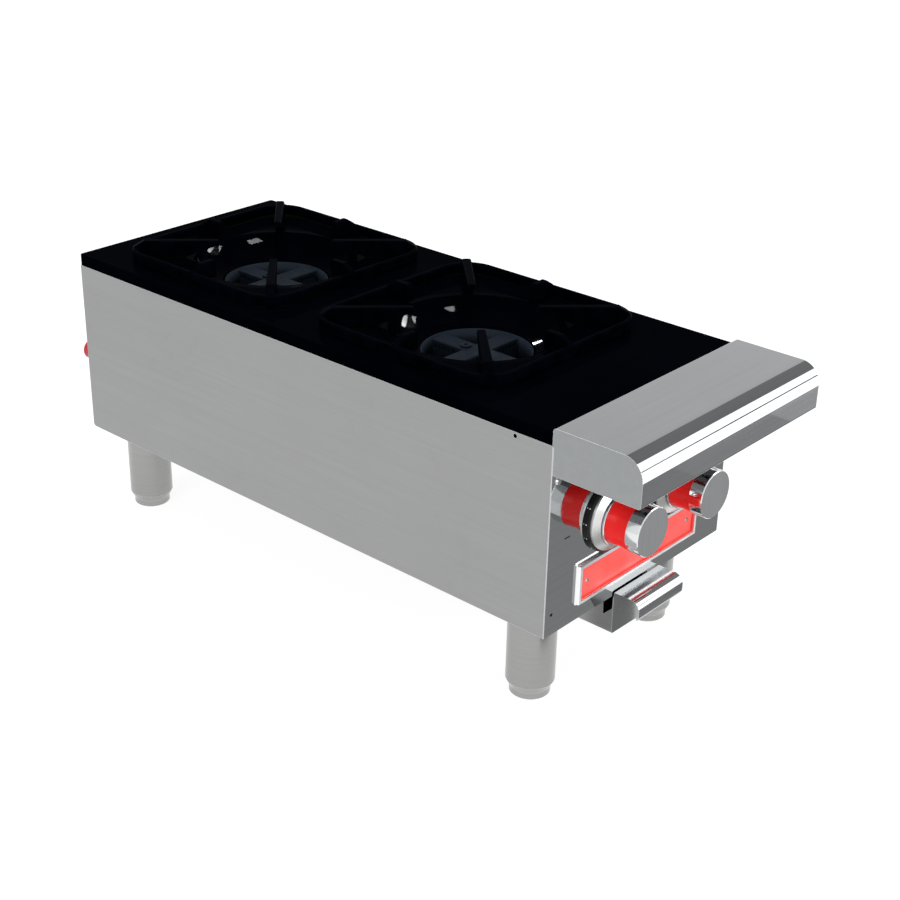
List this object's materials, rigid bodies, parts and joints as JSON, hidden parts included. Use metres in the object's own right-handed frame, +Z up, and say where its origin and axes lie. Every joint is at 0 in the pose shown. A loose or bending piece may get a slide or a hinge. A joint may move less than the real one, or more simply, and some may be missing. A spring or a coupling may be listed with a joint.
{
  "type": "countertop gas stove",
  "caption": "Narrow countertop gas stove: open burners in dished bowls under cast grates, front ledge, rotary knobs, drip drawer and round legs.",
  "frame": {"origin": "on the counter, under the middle of the bounding box", "axes": "+X to the right seen from the front, +Y to the rear, +Z up"},
  "size_m": [0.305, 0.839, 0.3455],
  "materials": {
    "side_steel": "satin",
    "panel_steel": "polished",
    "ledge_steel": "fine brushed",
    "rear_steel": "mill",
    "drawer_steel": "satin",
    "leg_steel": "turned",
    "foot_steel": "turned",
    "black_enamel": "gloss",
    "cast_grate": "satin enamel",
    "burner_iron": "cast",
    "tube_steel": "zinc",
    "pilot_aluminium": "mill",
    "valve_brass": "cast",
    "stem_steel": "turned",
    "bezel_black": "satin",
    "ring_metal": "satin",
    "collar_chrome": "polished",
    "knob_red": "gloss",
    "cap_metal": "brushed",
    "badge_chrome": "polished",
    "badge_red": "gloss",
    "rivet_steel": "turned",
    "inlet_red": "satin"
  },
  "bodies": {
    "stove": {"side_panel_left": "side_steel", "side_panel_right": "side_steel", "front_panel": "panel_steel", "front_ledge": "ledge_steel", "rear_panel": "rear_steel", "base_pan": "rear_steel", "drawer_rails": "rear_steel", "burner_supports": "rear_steel", "leg_plates": "rear_steel", "leg_front_left": "leg_steel", "leg_front_right": "leg_steel", "leg_rear_left": "leg_steel", "leg_rear_right": "leg_steel", "top_plate": "black_enamel", "burner_body_front": "burner_iron", "burner_body_rear": "burner_iron", "mixer_tube_front": "tube_steel", "mixer_tube_rear": "tube_steel", "manifold": "tube_steel", "pilot_tube_front": "pilot_aluminium", "pilot_tube_rear": "pilot_aluminium", "valve_body_left": "valve_brass", "valve_body_right": "valve_brass", "bezel_left": "bezel_black", "bezel_right": "bezel_black", "dial_ring_left": "ring_metal", "dial_ring_right": "ring_metal", "badge_frame": "badge_chrome", "badge_plate": "badge_red", "badge_rivets": "rivet_steel", "panel_screws": "rivet_steel"},
    "burner_cap_front": {"burner_cap_front": "burner_iron"},
    "bowl_front": {"bowl_front": "black_enamel"},
    "grate_front": {"grate_front": "cast_grate"},
    "burner_cap_rear": {"burner_cap_rear": "burner_iron"},
    "bowl_rear": {"bowl_rear": "black_enamel"},
    "grate_rear": {"grate_rear": "cast_grate"},
    "knob_left": {"knob_left": "knob_red", "knob_collar_left": "collar_chrome", "knob_cap_left": "cap_metal", "valve_stem_left": "stem_steel"},
    "knob_right": {"knob_right": "knob_red", "knob_collar_right": "collar_chrome", "knob_cap_right": "cap_metal", "valve_stem_right": "stem_steel"},
    "drawer": {"drip_drawer": "drawer_steel", "drawer_handle": "drawer_steel"},
    "foot_front_left": {"foot_front_left": "foot_steel"},
    "foot_front_right": {"foot_front_right": "foot_steel"},
    "foot_rear_left": {"foot_rear_left": "foot_steel"},
    "foot_rear_right": {"foot_rear_right": "foot_steel"},
    "inlet_cap": {"inlet_cap": "inlet_red"}
  },
  "joints": [
    {"name": "burner_cap_front_lift", "type": "slide", "parent": "stove", "child": "burner_cap_front", "axis": [0, 0, 1], "range_m": [0, 0.08]},
    {"name": "bowl_front_lift", "type": "slide", "parent": "stove", "child": "bowl_front", "axis": [0, 0, 1], "range_m": [0, 0.08]},
    {"name": "grate_front_lift", "type": "slide", "parent": "bowl_front", "child": "grate_front", "axis": [0, 0, 1], "range_m": [0, 0.1]},
    {"name": "burner_cap_rear_lift", "type": "slide", "parent": "stove", "child": "burner_cap_rear", "axis": [0, 0, 1], "range_m": [0, 0.08]},
    {"name": "bowl_rear_lift", "type": "slide", "parent": "stove", "child": "bowl_rear", "axis": [0, 0, 1], "range_m": [0, 0.08]},
    {"name": "grate_rear_lift", "type": "slide", "parent": "bowl_rear", "child": "grate_rear", "axis": [0, 0, 1], "range_m": [0, 0.1]},
    {"name": "knob_left_turn", "type": "hinge", "parent": "stove", "child": "knob_left", "pos_m": [-0.058, -0.3195, 0.203], "axis": [0, -1, 0], "range_deg": [-90, 0]},
    {"name": "knob_right_turn", "type": "hinge", "parent": "stove", "child": "knob_right", "pos_m": [0.051, -0.3195, 0.203], "axis": [0, -1, 0], "range_deg": [0, 90]},
    {"name": "drawer_slide", "type": "slide", "parent": "stove", "child": "drawer", "axis": [0, -1, 0], "range_m": [0, 0.58]},
    {"name": "foot_front_left_screw", "type": "slide", "parent": "stove", "child": "foot_front_left", "axis": [0, 0, -1], "range_m": [0, 0.025]},
    {"name": "foot_front_right_screw", "type": "slide", "parent": "stove", "child": "foot_front_right", "axis": [0, 0, -1], "range_m": [0, 0.025]},
    {"name": "foot_rear_left_screw", "type": "slide", "parent": "stove", "child": "foot_rear_left", "axis": [0, 0, -1], "range_m": [0, 0.025]},
    {"name": "foot_rear_right_screw", "type": "slide", "parent": "stove", "child": "foot_rear_right", "axis": [0, 0, -1], "range_m": [0, 0.025]},
    {"name": "inlet_cap_pull", "type": "slide", "parent": "stove", "child": "inlet_cap", "axis": [0, 1, 0], "range_m": [0, 0.03]}
  ]
}
